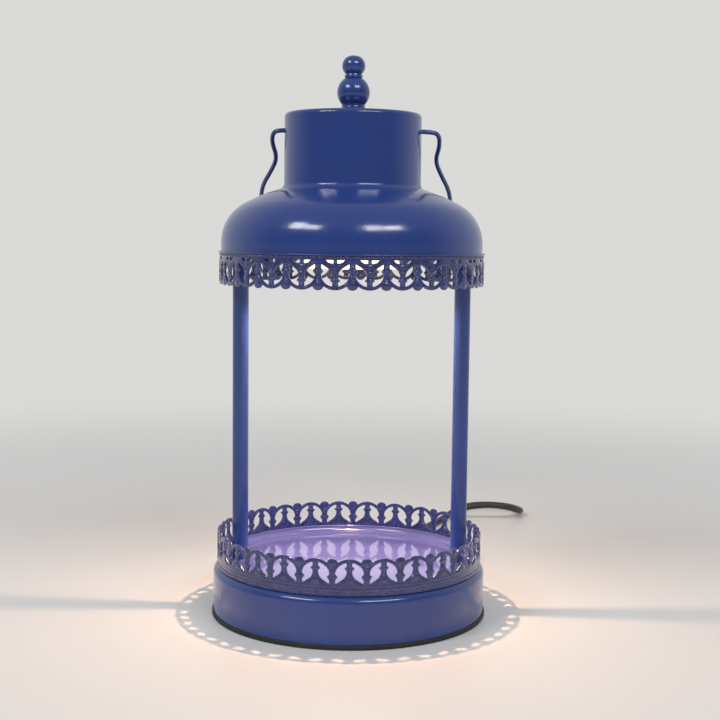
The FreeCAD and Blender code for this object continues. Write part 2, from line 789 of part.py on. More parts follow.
def make_relief():
    outward = relief_axis()
    root = outward * drum_radius + Vec(0, 0, exit_height)
    wall_inner = -drum_wall - 0.5
    corners = [(wall_inner - 2.0, 0), (wall_inner - 2.0, relief_flange_radius), (wall_inner, relief_flange_radius),
               (wall_inner, relief_neck_radius), (0.3, relief_neck_radius), (0.3, relief_flange_radius),
               (relief_flange, relief_flange_radius), (relief_flange, relief_root_radius),
               (relief_length, relief_tip_radius), (relief_length, 0)]
    relief = turned_along(root, outward, corners)
    bore = rod(cord_radius + bore_clearance, root - outward * 10, root + outward * (relief_length + 1))
    export("strain_relief", relief.cut(bore))
    return root + outward * relief_length


def make_inner_cord():
    outward = relief_axis()
    tip = outward * (drum_radius + relief_length) + Vec(0, 0, exit_height)
    inner = outward * (pillar_circle - 2) + Vec(0, 0, exit_height)
    block_side = Vec(block_centre[0] - block_size[0] / 2, block_centre[1], lead_height)
    points = [tip, inner, Vec(-13.5, 25.0, lead_height - 2), block_side]
    export("cord_inner", tube("cord_inner", cord_radius, points))
    centre = outward * clamp_circle
    width, depth = clamp_size
    head_bottom = exit_height + cord_radius + clamp_roof
    clamp = box((-width / 2, -depth / 2, plate_top), (width / 2, depth / 2, head_bottom))
    clamp.rotate(Vec(0, 0, 0), Vec(0, 0, 1), exit_angle - 90)
    clamp.translate(Vec(centre.x, centre.y, 0))
    level = Vec(0, 0, exit_height)
    bore = rod(cord_radius + bore_clearance, centre - outward * depth + level, centre + outward * depth + level)
    sideways = on_circle(clamp_screw_spread, exit_angle - 90)
    wells = []
    clamp_screws = []
    for side in (-1, 1):
        place = centre + sideways * side
        shank = cylinder(clamp_screw_radius, plate_top, head_bottom, place.x, place.y)
        head = cylinder(clamp_screw_radius + 1, head_bottom, head_bottom + 1.2, place.x, place.y)
        wells.append(shank)
        clamp_screws.append(shank.fuse(head).removeSplitter())
    export("cord_clamp", clamp.cut([bore] + wells))
    export("clamp_screws", *clamp_screws)


def make_block():
    x, y = block_centre
    length, width, height = block_size
    top = block_bottom + height
    block = box((x - length / 2, y - width / 2, block_bottom), (x + length / 2, y + width / 2, top))
    wells = []
    block_screws = []
    for px in (x - 5, x + 5):
        for py in (y - 3, y + 3):
            wells.append(cylinder(block_screw_radius, top - block_well_depth, top + 1, px, py))
            block_screws.append(cylinder(block_screw_radius, top - block_well_depth, top - 1.5, px, py))
    export("terminal_block", block.cut(wells))
    export("terminal_screws", *block_screws)


def make_leads():
    x, y = block_centre
    block_side = x + block_size[0] / 2
    top_of_post = strap_under + upper_thread_length
    leads = []
    for side in (-1, 1):
        shift = side * lead_spacing / 2
        points = [(block_side + lead_gap, y + side * 3, lead_height), (36.0, 8.0 + side * 2, lead_height - 1),
                  (post_circle, shift, plate_top + 7.7), (post_circle, shift, tray_floor + 33),
                  (post_circle + 0.1, shift, strap_under - 66), (post_circle, shift, top_of_post + 3.5),
                  (post_circle - 4.5, 1.5 + shift, top_of_post + 8.0),
                  (33.5, 5.5 + shift, strap_top + 16.5), (26.0, 10.0 + shift, holder_top - 13.5),
                  (16.0, 11.5 + shift, holder_top + 5.0), (6.0, 9.6 + side * 0.8, holder_top + 2 * lead_gap)]
        leads.append(tube("lead", lead_radius, points))
    export("lead_wires", *leads)
    dimmer_back = drum_radius - dimmer_setback - dimmer_depth
    dimmer_leads = []
    for side in (-1, 1):
        points = [(x + side * 3, y + block_size[1] / 2 + lead_gap, lead_height),
                  (x - 3 + side * 2, y + 18, lead_height - 1.5),
                  (side * 4.0, dimmer_back - lead_gap, dimmer_height)]
        dimmer_leads.append(tube("dimmer lead", lead_radius, points))
    export("dimmer_leads", *dimmer_leads)


def coil_outline():
    half_width = coil_columns * cord_radius
    low = coil_lift
    high = coil_lift + 2 * coil_rows * cord_radius
    inner = coil_mean_radius - half_width
    outer = coil_mean_radius + half_width
    return inner, outer, low, high


def make_coil():
    inner, outer, low, high = coil_outline()
    coil = turned([(inner, low, coil_corner), (outer, low, coil_corner), (outer, high, coil_corner),
                   (inner, high, coil_corner)])
    coil.translate(Vec(*coil_centre, 0))
    export("cord_coil", coil)
    sleeve = box((inner - tie_thickness, -tie_width / 2, low - tie_thickness),
                 (outer + tie_thickness, tie_width / 2, high + tie_thickness))
    ring = turned([(inner - 0.01, low), (outer + 0.01, low), (outer + 0.01, high), (inner - 0.01, high)])
    tie = sleeve.cut(ring)
    tie.rotate(Vec(0, 0, 0), Vec(0, 0, 1), tie_angle)
    tie.translate(Vec(*coil_centre, 0))
    export("coil_tie", tie)


def make_cord(relief_tip):
    turn_radius = coil_mean_radius + (coil_columns - 1) * cord_radius
    entry = (coil_centre[0] + turn_radius, coil_centre[1], coil_lift + cord_radius)
    route = [tuple(relief_tip)] + cord_route + [entry]
    export("cord", tube("cord", cord_radius, route))
    top_turn = coil_lift + cord_radius * (2 * coil_rows - 1)
    leave = (coil_centre[0] - turn_radius, coil_centre[1], top_turn)
    export("cord_tail", tube("cord_tail", cord_radius, [leave] + tail_route + [plug_entry]))


def make_plug():
    width, length, height = plug_size
    x, entry_y, z = plug_entry
    back = entry_y - plug_boot_length
    front = back - length
    body = box((x - width / 2, front, z - height / 2), (x + width / 2, back, z + height / 2))
    upright = [e for e in body.Edges if e.BoundBox.ZLength > height - 0.1 and e.BoundBox.YMin > back - 0.1]
    body = body.makeFillet(plug_round, upright)
    boot_end = plug_boot_length + 1
    boot = turned_along(Vec(x, back - 1, z), Vec(0, 1, 0),
                        [(0, 0), (0, plug_boot_root), (boot_end, plug_boot_tip), (boot_end, 0)])
    body = body.fuse(boot)
    blade_x, blade_length, blade_z = blade_size
    blades = []
    for side in (-1, 1):
        centre = x + side * blade_spacing / 2
        blades.append(box((centre - blade_x / 2, front - blade_length, z - blade_z / 2),
                          (centre + blade_x / 2, front, z + blade_z / 2)))
    export("plug_body", body.removeSplitter())
    export("plug_blades", *blades)


make_foot()
make_cover()
make_drum()
make_tray()
make_galleries()
make_posts()
make_shade()
make_strap()
make_bulb()
make_holder()
make_finial()
make_bail()
make_dimmer()
tip = make_relief()
make_inner_cord()
make_block()
make_leads()
make_coil()
make_cord(tip)
make_plug()
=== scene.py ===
import json
import math

import bmesh
import bpy
from mathutils import Matrix, Vector


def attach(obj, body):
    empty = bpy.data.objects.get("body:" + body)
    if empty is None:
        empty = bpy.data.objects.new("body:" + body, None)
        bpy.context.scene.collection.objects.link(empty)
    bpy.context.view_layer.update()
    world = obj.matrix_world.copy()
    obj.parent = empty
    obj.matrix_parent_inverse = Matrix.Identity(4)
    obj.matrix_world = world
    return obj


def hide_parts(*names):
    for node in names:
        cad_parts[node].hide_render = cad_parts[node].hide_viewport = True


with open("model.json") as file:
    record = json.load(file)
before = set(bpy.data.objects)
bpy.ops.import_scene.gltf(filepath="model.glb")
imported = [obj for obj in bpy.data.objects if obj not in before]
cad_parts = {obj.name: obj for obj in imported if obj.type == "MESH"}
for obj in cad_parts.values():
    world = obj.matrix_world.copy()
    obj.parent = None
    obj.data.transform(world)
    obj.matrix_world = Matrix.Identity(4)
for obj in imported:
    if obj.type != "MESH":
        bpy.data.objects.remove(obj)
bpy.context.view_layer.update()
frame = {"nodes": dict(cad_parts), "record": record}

nodes = frame["nodes"]
scene = bpy.context.scene
mm = 0.001
print("frame loaded:", len(nodes), "nodes")


# camera, standing in front and a little to the right
cameraRig = {
    "place": (0.024055, -0.709312, 0.20457),
    "heading": 1.547,  # degrees, counterclockwise from +Y
    "pitch": -5.605,
    "roll": 0.628,
    "lens": 67.315,
    "sensor": 36.0,
    "nearest": 0.01,
    "farthest": 50,
}


def makeCamera(rig):
    data = bpy.data.cameras.new("studioCamera")
    data.lens = rig["lens"]
    data.sensor_width = rig["sensor"]
    data.clip_start = rig["nearest"]
    data.clip_end = rig["farthest"]
    camera = bpy.data.objects.new("studioCamera", data)
    scene.collection.objects.link(camera)
    turn = Matrix.Rotation(math.radians(rig["heading"]), 4, "Z")
    tilt = Matrix.Rotation(math.radians(90 + rig["pitch"]), 4, "X")
    roll = Matrix.Rotation(math.radians(rig["roll"]), 4, "Z")
    camera.matrix_world = Matrix.Translation(rig["place"]) @ turn @ tilt @ roll
    scene.camera = camera


makeCamera(cameraRig)
print("camera placed")


# cord: off the strain relief, over the table, round a loop, into the coil and out to the plug
cordRun = {
    "radius": 2.2,
    "relief tip": (-47.1, 81.6, 10.0),
    "table points": [
        (-53.0, 91.8, 9.2), (-58.0, 106.0, 5.0), (-59.0, 124.0, 2.3), (-52.0, 144.0, 2.3),
        (-36.0, 159.5, 2.3), (-13.0, 168.5, 2.3), (11.0, 171.5, 2.3), (32.0, 177.5, 2.3),
        (45.0, 190.0, 2.3), (51.8, 206.0, 2.3), (58.6, 219.4, 2.8), (67.6, 228.2, 7.2),
        (79.6, 230.4, 9.8), (93.0, 227.6, 11.5), (105.5, 230.2, 9.2), (113.9, 240.2, 5.0),
        (115.5, 253.4, 2.4), (110.0, 265.2, 2.3), (99.0, 272.2, 2.3), (86.0, 271.9, 2.3),
        (75.6, 264.6, 2.3), (70.8, 252.6, 2.3), (70.9, 238.0, 2.3), (70.4, 220.0, 2.3),
        (69.7, 198.0, 2.3), (69.0, 172.0, 2.3), (68.2, 149.0, 2.3), (71.6, 130.0, 2.6),
    ],
    "tail points": [
        (11.3, 124.0, 6.2), (11.7, 136.0, 3.8), (10.9, 148.0, 2.4), (3.9, 157.6, 2.3), (-7.7, 161.3, 2.3),
        (-19.4, 157.6, 2.6), (-26.6, 147.6, 3.9), (-27.3, 135.0, 6.2), (-27.0, 128.5, 7.0),
    ],
    "length": 1.5,
}
coilTurns = {
    "centre": (42.0, 113.0),
    "outer radius": 30.5,
    "inner radius": 21.5,
    "low": 2.8,
    "high": 7.2,
    "turns": 5.5,
    "inward turns": 2,
    "climbing turns": 1,
    "points per turn": 18,
}


def coilPoints(coil):
    # clockwise from above: inwards on the table, a turn that climbs, then outwards on top
    points = []
    inward, climbing = coil["inward turns"], coil["climbing turns"]
    pitch = (coil["outer radius"] - coil["inner radius"]) / inward
    count = int(coil["turns"] * coil["points per turn"])
    for k in range(count + 1):
        turn = k / coil["points per turn"]
        climb = min(max(turn - inward, 0) / climbing, 1)
        radius = coil["outer radius"] - pitch * min(turn, inward) + pitch * max(turn - inward - climbing, 0)
        height = coil["low"] + (coil["high"] - coil["low"]) * math.sqrt(1 - (1 - climb) ** 2)
        angle = -2 * math.pi * turn
        points.append((coil["centre"][0] + radius * math.cos(angle),
                       coil["centre"][1] + radius * math.sin(angle), height))
    return points


def makeCord(run, coil):
    points = [run["relief tip"]] + run["table points"] + coilPoints(coil) + run["tail points"]
    data = bpy.data.curves.new("mainsCord", "CURVE")
    data.dimensions = "3D"
    data.resolution_u = 6
    data.bevel_depth = 1.0  # the points' radii carry the cord's own radius
    data.bevel_resolution = 5
    data.use_fill_caps = True
    spline = data.splines.new("NURBS")
    spline.points.add(len(points) - 1)
    for point, place in zip(spline.points, points):
        point.co = (place[0] * mm, place[1] * mm, place[2] * mm, 1)
        point.radius = run["radius"] * mm
    spline.order_u = 3
    spline.use_endpoint_u = True
    cord = bpy.data.objects.new("mainsCord", data)
    scene.collection.objects.link(cord)
    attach(cord, "root")
    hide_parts("cord", "cord_coil", "cord_tail")
    return cord


mainsCord = makeCord(cordRun, coilTurns)
print("cord laid")


# shared shader groups
def newGroup(name, inputs, outputs):
    group = bpy.data.node_groups.new(name, "ShaderNodeTree")
    for label, kind, value in inputs:
        socket = group.interface.new_socket(label, in_out="INPUT", socket_type=kind)
        socket.default_value = value
    for label, kind in outputs:
        group.interface.new_socket(label, in_out="OUTPUT", socket_type=kind)
    start = group.nodes.new("NodeGroupInput")
    end = group.nodes.new("NodeGroupOutput")
    return group, start, end


def addSpread(tree, span, smooth=False):
    # stretches the values of span to 0..1
    spread = tree.nodes.new("ShaderNodeMapRange")
    if smooth:
        spread.interpolation_type = "SMOOTHSTEP"
    spread.inputs["From Min"].default_value, spread.inputs["From Max"].default_value = span
    return spread


noiseSpans = {"grain": (0.3, 0.7), "drift": (0.35, 0.65), "drift detail": 5}


def makeGrainGroup():
    # fine noise for roughness and bump, with its own low and high values
    group, start, end = newGroup(
        "fineGrain",
        [("Scale", "NodeSocketFloat", 400.0), ("Detail", "NodeSocketFloat", 3.0),
         ("Low", "NodeSocketFloat", 0.2), ("High", "NodeSocketFloat", 0.3)],
        [("Value", "NodeSocketFloat"), ("Height", "NodeSocketFloat")])
    place = group.nodes.new("ShaderNodeTexCoord")
    noise = group.nodes.new("ShaderNodeTexNoise")
    spread = addSpread(group, noiseSpans["grain"])
    link = group.links.new
    link(place.outputs["Object"], noise.inputs["Vector"])
    link(start.outputs["Scale"], noise.inputs["Scale"])
    link(start.outputs["Detail"], noise.inputs["Detail"])
    link(noise.outputs["Fac"], spread.inputs["Value"])
    link(start.outputs["Low"], spread.inputs["To Min"])
    link(start.outputs["High"], spread.inputs["To Max"])
    link(spread.outputs["Result"], end.inputs["Value"])
    link(noise.outputs["Fac"], end.inputs["Height"])
    return group


def makeDriftGroup():
    # slow drift between two colours
    group, start, end = newGroup(
        "colourDrift",
        [("Light", "NodeSocketColor", (1, 1, 1, 1)), ("Deep", "NodeSocketColor", (0, 0, 0, 1)),
         ("Scale", "NodeSocketFloat", 25.0)],
        [("Color", "NodeSocketColor")])
    place = group.nodes.new("ShaderNodeTexCoord")
    noise = group.nodes.new("ShaderNodeTexNoise")
    noise.inputs["Detail"].default_value = noiseSpans["drift detail"]
    spread = addSpread(group, noiseSpans["drift"])
    mix = group.nodes.new("ShaderNodeMix")
    mix.data_type = "RGBA"
    link = group.links.new
    link(place.outputs["Object"], noise.inputs["Vector"])
    link(start.outputs["Scale"], noise.inputs["Scale"])
    link(noise.outputs["Fac"], spread.inputs["Value"])
    link(spread.outputs["Result"], mix.inputs["Factor"])
    link(start.outputs["Light"], mix.inputs["A"])
    link(start.outputs["Deep"], mix.inputs["B"])
    link(mix.outputs["Result"], end.inputs["Color"])
    return group


grainGroup = makeGrainGroup()
driftGroup = makeDriftGroup()


def addDrift(tree, surface):
    drift = tree.nodes.new("ShaderNodeGroup")
    drift.node_tree = driftGroup
    drift.inputs["Light"].default_value = (*surface["light"], 1)
    drift.inputs["Deep"].default_value = (*surface["deep"], 1)
    drift.inputs["Scale"].default_value = surface["drift scale"]
    tree.links.new(drift.outputs["Color"], tree.nodes["Principled BSDF"].inputs["Base Color"])


# one finish for each material slot: colours, roughness from low to high, bump
finishes = {
    "navy_enamel": {
        "light": (0.022, 0.052, 0.235), "deep": (0.018, 0.044, 0.205), "drift scale": 18.0,
        "roughness": (0.16, 0.22), "grain scale": 260.0, "bump": 0.012, "bump depth": 0.0004,
        "coat": 0.35, "coat roughness": 0.11,
    },
    # lighter lavender copy of the navy enamel: painted sheen standing in for the tray floor's reflection of
    # the bright room
    "tray_enamel_painted_sheen": {
        "light": (0.095, 0.1, 0.32), "deep": (0.075, 0.082, 0.275), "drift scale": 30.0,
        "roughness": (0.1, 0.2), "grain scale": 300.0, "bump": 0.01, "bump depth": 0.0004,
        "coat": 1.0, "coat roughness": 0.04,
    },
    "gallery_enamel": {
        "light": (0.024, 0.038, 0.19), "deep": (0.014, 0.022, 0.11), "drift scale": 300.0,
        "roughness": (0.2, 0.34), "grain scale": 900.0, "bump": 0.08, "bump depth": 0.0004,
        "coat": 1.0, "coat roughness": 0.12,
    },
    "foot_rubber": {
        "light": (0.018, 0.018, 0.02), "deep": (0.01, 0.01, 0.012), "drift scale": 120.0,
        "roughness": (0.55, 0.75), "grain scale": 1500.0, "bump": 0.15, "bump depth": 0.0003,
    },
    "cord_jacket": {
        "light": (0.03, 0.03, 0.033), "deep": (0.02, 0.02, 0.022), "drift scale": 90.0,
        "roughness": (0.34, 0.46), "grain scale": 1800.0, "bump": 0.08, "bump depth": 0.0002,
    },
    "relief_plastic": {
        "light": (0.022, 0.022, 0.024), "deep": (0.014, 0.014, 0.016), "drift scale": 150.0,
        "roughness": (0.45, 0.6), "grain scale": 1600.0, "bump": 0.12, "bump depth": 0.0002,
    },
    "tie_plastic": {
        "light": (0.05, 0.05, 0.052), "deep": (0.03, 0.03, 0.032), "drift scale": 200.0,
        "roughness": (0.4, 0.55), "grain scale": 2000.0, "bump": 0.1, "bump depth": 0.0002,
    },
    "plug_plastic": {
        "light": (0.02, 0.02, 0.022), "deep": (0.014, 0.014, 0.016), "drift scale": 80.0,
        "roughness": (0.22, 0.32), "grain scale": 1400.0, "bump": 0.05, "bump depth": 0.0002,
    },
    "knob_plastic": {
        "light": (0.02, 0.022, 0.03), "deep": (0.012, 0.013, 0.02), "drift scale": 140.0,
        "roughness": (0.3, 0.42), "grain scale": 1600.0, "bump": 0.06, "bump depth": 0.0002,
    },
    "dimmer_case": {
        "light": (0.03, 0.03, 0.035), "deep": (0.02, 0.02, 0.024), "drift scale": 90.0,
        "roughness": (0.2, 0.3), "grain scale": 1200.0, "bump": 0.04, "bump depth": 0.0002,
    },
    "shaft_metal": {
        "light": (0.72, 0.72, 0.72), "deep": (0.6, 0.6, 0.6), "drift scale": 200.0,
        "roughness": (0.25, 0.38), "grain scale": 1800.0, "bump": 0.04, "bump depth": 0.0002,
        "metallic": 1.0,
    },
    "steel": {
        "light": (0.6, 0.6, 0.62), "deep": (0.48, 0.48, 0.5), "drift scale": 60.0,
        "roughness": (0.3, 0.46), "grain scale": 900.0, "bump": 0.06, "bump depth": 0.0002,
        "metallic": 1.0,
    },
    "zinc_screws": {
        "light": (0.68, 0.67, 0.62), "deep": (0.55, 0.54, 0.5), "drift scale": 300.0,
        "roughness": (0.22, 0.36), "grain scale": 1600.0, "bump": 0.05, "bump depth": 0.0002,
        "metallic": 1.0,
    },
    "iron": {
        "light": (0.1, 0.1, 0.105), "deep": (0.05, 0.05, 0.055), "drift scale": 120.0,
        "roughness": (0.6, 0.8), "grain scale": 700.0, "bump": 0.3, "bump depth": 0.0005,
        "metallic": 1.0,
    },
    "blade_brass": {
        "light": (0.76, 0.62, 0.36), "deep": (0.66, 0.52, 0.28), "drift scale": 200.0,
        "roughness": (0.2, 0.3), "grain scale": 1500.0, "bump": 0.04, "bump depth": 0.0002,
        "metallic": 1.0,
    },
    "block_screws": {
        "light": (0.74, 0.62, 0.38), "deep": (0.62, 0.5, 0.28), "drift scale": 300.0,
        "roughness": (0.25, 0.35), "grain scale": 1500.0, "bump": 0.04, "bump depth": 0.0002,
        "metallic": 1.0,
    },
    "nickel_pins": {
        "light": (0.75, 0.73, 0.7), "deep": (0.66, 0.64, 0.6), "drift scale": 250.0,
        "roughness": (0.15, 0.25), "grain scale": 1500.0, "bump": 0.03, "bump depth": 0.0002,
        "metallic": 1.0,
    },
    "bulb_ceramic": {
        "light": (0.82, 0.79, 0.72), "deep": (0.74, 0.7, 0.62), "drift scale": 80.0,
        "roughness": (0.4, 0.55), "grain scale": 1200.0, "bump": 0.06, "bump depth": 0.0003,
    },
    "holder_ceramic": {
        "light": (0.84, 0.82, 0.78), "deep": (0.76, 0.73, 0.68), "drift scale": 80.0,
        "roughness": (0.35, 0.5), "grain scale": 1100.0, "bump": 0.06, "bump depth": 0.0003,
    },
    "block_plastic": {
        "light": (0.84, 0.84, 0.8), "deep": (0.78, 0.78, 0.73), "drift scale": 100.0,
        "roughness": (0.25, 0.35), "grain scale": 1200.0, "bump": 0.04, "bump depth": 0.0002,
    },
    "clamp_plastic": {
        "light": (0.78, 0.78, 0.75), "deep": (0.7, 0.7, 0.67), "drift scale": 100.0,
        "roughness": (0.4, 0.5), "grain scale": 1200.0, "bump": 0.06, "bump depth": 0.0002,
    },
    "lead_jacket": {
        "light": (0.76, 0.74, 0.68), "deep": (0.62, 0.6, 0.54), "drift scale": 500.0,
        "roughness": (0.6, 0.75), "grain scale": 2500.0, "bump": 0.2, "bump depth": 0.0002,
    },
    "bulb_reflector": {
        "light": (0.92, 0.86, 0.78), "deep": (0.86, 0.76, 0.66), "drift scale": 60.0,
        "roughness": (0.12, 0.22), "grain scale": 500.0, "bump": 0.05, "bump depth": 0.0003,
        "glow": (1.0, 0.66, 0.38), "glow strength": 2.2,
    },
    "bulb_glass": {
        "light": (0.95, 0.92, 0.88), "deep": (0.9, 0.86, 0.8), "drift scale": 60.0,
        "roughness": (0.1, 0.2), "grain scale": 500.0, "bump": 0.1, "bump depth": 0.0004,
        "glow": (1.0, 0.8, 0.58), "glow strength": 6.0,
    },
}


def makeFinish(name, finish):
    material = bpy.data.materials.new(name)
    material.use_nodes = True
    tree = material.node_tree
    shader = tree.nodes["Principled BSDF"]
    addDrift(tree, finish)
    grain = tree.nodes.new("ShaderNodeGroup")
    grain.node_tree = grainGroup
    grain.inputs["Scale"].default_value = finish["grain scale"]
    grain.inputs["Low"].default_value, grain.inputs["High"].default_value = finish["roughness"]
    bump = tree.nodes.new("ShaderNodeBump")
    bump.inputs["Strength"].default_value = finish["bump"]
    bump.inputs["Distance"].default_value = finish["bump depth"]
    tree.links.new(grain.outputs["Value"], shader.inputs["Roughness"])
    tree.links.new(grain.outputs["Height"], bump.inputs["Height"])
    tree.links.new(bump.outputs["Normal"], shader.inputs["Normal"])
    shader.inputs["Metallic"].default_value = finish.get("metallic", 0.0)
    shader.inputs["Coat Weight"].default_value = finish.get("coat", 0.0)
    shader.inputs["Coat Roughness"].default_value = finish.get("coat roughness", 0.03)
    if "glow" in finish:
        shader.inputs["Emission Color"].default_value = (*finish["glow"], 1)
        shader.inputs["Emission Strength"].default_value = finish["glow strength"]
    return material


materials = {name: makeFinish(name, finish) for name, finish in finishes.items()}
for entry in frame["record"]["subparts"]:
    mesh = nodes[entry["node"]].data
    mesh.materials.clear()
    mesh.materials.append(materials[entry["material_slot"]])
mainsCord.data.materials.append(materials["cord_jacket"])
print("finishes made:", len(materials))


# pierced strips round the tray and the shade, drawn flat as (along, up) in millimetres and then bent
stripShape = {
    "cells": 26,
    "creep": 4.78,  # degrees by which the cells on the far side have shifted
    "thickness": 0.9,
    "edge round": 0.16,
    "ring low": 9.2,
    "ring high": 14.0,
    "ring bore": 7.75,
    "ring outer": 9.3,
    "low arc": (-12, 192, 34),  # degrees from and to, points
    "right arc": (196, 270, 14),
    "left arc": (-90, -16, 14),
    "crown points": 9,
    "nominal half": 8.46,  # half a cell, as commaPoints are drawn
    "bud reach": 2.9,
    "ridge": 0.28,
    "ridge sides": 6,
    "boss sides": 8,
    "boss rise": 0.6,
    "leaf ridge": 0.26,
    "bead pitch": 1.45,
    "bead radius": 0.62,
    "bead rise": 0.55,
    "fillet steps": 300,
    "step": 0.8,
    "cut spacing": 4.2,
    "weld": 0.001,
    "sharp angle": 38,
}


def arcPoints(centre, radius, start, end, count):
    return [(centre[0] + radius * math.cos(math.radians(start + (end - start) * k / (count - 1))),
             centre[1] + radius * math.sin(math.radians(start + (end - start) * k / (count - 1))))
            for k in range(count)]


def softened(points, near=0.8, far=0.2):
    # corner cutting on a closed outline
    cut = []
    for k, point in enumerate(points):
        after = points[(k + 1) % len(points)]
        cut.append((near * point[0] + far * after[0], near * point[1] + far * after[1]))
        cut.append((far * point[0] + near * after[0], far * point[1] + near * after[1]))
    return cut


commaPoints = [
    # opening between the baluster at 0 and the bud post at half a cell
    (1.45, 16.45), (1.4, 15.3), (1.4, 14.75), (2.0, 14.5), (2.45, 13.9), (2.15, 13.3), (1.55, 13.0),
    (1.4, 12.3), (1.45, 11.3), (1.75, 10.3), (2.3, 9.3), (3.2, 8.45), (4.3, 7.7), (5.4, 7.0),
    (6.3, 6.4), (6.9, 6.15), (6.95, 7.3), (6.8, 8.2), (6.35, 8.6), (5.95, 9.2), (5.95, 9.9),
    (6.4, 10.3), (6.85, 10.6), (6.95, 11.3), (6.75, 12.4), (6.2, 13.6), (5.3, 14.7), (4.1, 15.6),
    (2.8, 16.25), (1.8, 16.6),
]
windowPoints = [(0.9, 4.1), (4.6, 4.1), (3.6, 5.2), (2.0, 5.7), (0.9, 5.6)]
budPoints = [(-2.6, 16.9), (-2.3, 17.6), (-1.7, 18.15), (-0.9, 18.5), (-0.3, 18.6)]
leafPoints = [(0.35, 9.3), (1.1, 7.9), (2.6, 6.7), (4.4, 6.1)]
# relief on both faces: (height, (half width, half height, rise)), and the same to the sides with an offset
balusterBosses = [
    (15.9, (1.0, 0.7, 0.34)), (13.9, (1.35, 0.95, 0.45)), (11.9, (1.0, 0.6, 0.34)),
    (10.2, (1.25, 0.7, 0.38)), (7.7, (2.1, 1.3, 0.42)),
]
balusterKnobs = (1.75, 14.0, (0.6, 0.42, 0.3))
budBosses = [
    (16.3, (1.9, 1.7, 0.5)), (14.0, (1.3, 0.6, 0.36)), (12.4, (1.1, 0.8, 0.36)),
    (9.5, (1.4, 0.9, 0.45)), (7.7, (1.1, 0.7, 0.34)),
]
budKnobs = (1.9, 9.5, (0.6, 0.5, 0.3))


def commaOutline(half, shape):
    stretch = half / shape["nominal half"]
    return softened([(along * stretch, up) for along, up in commaPoints])


def crownOutline(half, shape):
    # top edge from a ring's middle to a bud's tip
    outer = shape["ring outer"]
    reach = math.degrees(math.acos((half - shape["bud reach"]) / outer))
    ring = arcPoints((0, shape["ring low"]), outer, 90, reach, shape["crown points"])
    return ring + shifted(budPoints, half)


def cellAngle(cell, phase, shape):
    turn = 360.0 / shape["cells"] * cell
    return phase + turn + shape["creep"] * (1 - math.cos(math.radians(turn))) / 2


def mirrored(points):
    return [(-along, up) for along, up in points[::-1]]


def shifted(points, along):
    return [(point[0] + along, point[1]) for point in points]


def addLoop(curve, points):
    spline = curve.splines.new("POLY")
    spline.points.add(len(points) - 1)
    for point, place in zip(spline.points, points):
        point.co = (place[0], place[1], 0, 1)
    spline.use_cyclic_u = True


def plateMesh(outline, openings, shape):
    # filled, thickened and rounded by a flat curve
    curve = bpy.data.curves.new("plate", "CURVE")
    curve.dimensions = "2D"
    curve.fill_mode = "BOTH"
    curve.extrude = shape["thickness"] / 2 - shape["edge round"]
    curve.bevel_depth = shape["edge round"]
    curve.bevel_resolution = 1
    curve.offset = -shape["edge round"]
    addLoop(curve, outline)
    for opening in openings:
        addLoop(curve, opening)
    holder = bpy.data.objects.new("plate", curve)
    scene.collection.objects.link(holder)
    bpy.context.view_layer.update()
    mesh = bpy.data.meshes.new_from_object(holder.evaluated_get(bpy.context.evaluated_depsgraph_get()))
    bpy.data.objects.remove(holder)
    bpy.data.curves.remove(curve)
    return mesh


def cutAcross(mesh, whole, shape):
    # long triangles would cut across the ring when the strip is bent
    spacing = shape["cut spacing"]
    bm = bmesh.new()
    bm.from_mesh(mesh)
    bmesh.ops.remove_doubles(bm, verts=bm.verts, dist=shape["weld"])
    for cut in range(1, int(whole / spacing)):
        bmesh.ops.bisect_plane(bm, geom=bm.verts[:] + bm.edges[:] + bm.faces[:], dist=0.0001,
                               plane_co=(cut * spacing, 0, 0), plane_no=(1, 0, 0))
    bm.to_mesh(mesh)
    bm.free()


def addRidge(solid, path, face, radius, shape):
    # round ridge along a flat path, half sunk in the front (1) or the back (-1)
    verts, faces = solid
    first = len(verts)
    sides = shape["ridge sides"]
    depth = face * shape["thickness"] / 2
    for k, point in enumerate(path):
        before, after = path[max(k - 1, 0)], path[min(k + 1, len(path) - 1)]
        wayX, wayY = after[0] - before[0], after[1] - before[1]
        length = math.hypot(wayX, wayY)
        for side in range(sides):
            turn = math.tau * side / sides
            across = radius * math.cos(turn) / length
            verts.append((point[0] - wayY * across, point[1] + wayX * across,
                          depth + radius * math.sin(turn)))
    for k in range(len(path) - 1):
        for side in range(sides):
            near, beside = first + sides * k + side, first + sides * k + (side + 1) % sides
            faces.append((near, beside, beside + sides, near + sides))
    faces.append(tuple(range(first + sides - 1, first - 1, -1)))
    faces.append(tuple(range(len(verts) - sides, len(verts))))


def addBoss(solid, centre, face, size, shape):
    # low dome: size is (half width, half height, rise)
    verts, faces = solid
    first = len(verts)
    sides = shape["boss sides"]
    wide, high, rise = size[0], size[1], size[2] * shape["boss rise"]
    depth = face * shape["thickness"] / 2
    for lift in (-45, 0, 45):
        reach, lifted = math.cos(math.radians(lift)), math.sin(math.radians(lift))
        for side in range(sides):
            turn = math.tau * side / sides
            verts.append((centre[0] + wide * reach * math.cos(turn),
                          centre[1] + high * reach * math.sin(turn), depth + rise * lifted))
    verts.append((centre[0], centre[1], depth - rise))
    verts.append((centre[0], centre[1], depth + rise))
    low, middle, top = first, first + sides, first + 2 * sides
    bottomTip, topTip = first + 3 * sides, first + 3 * sides + 1
    for side in range(sides):
        after = (side + 1) % sides
        faces.append((low + after, low + side, bottomTip))
        faces.append((top + side, top + after, topTip))
        for ring in (low, middle):
            faces.append((ring + side, ring + after, ring + sides + after, ring + sides + side))


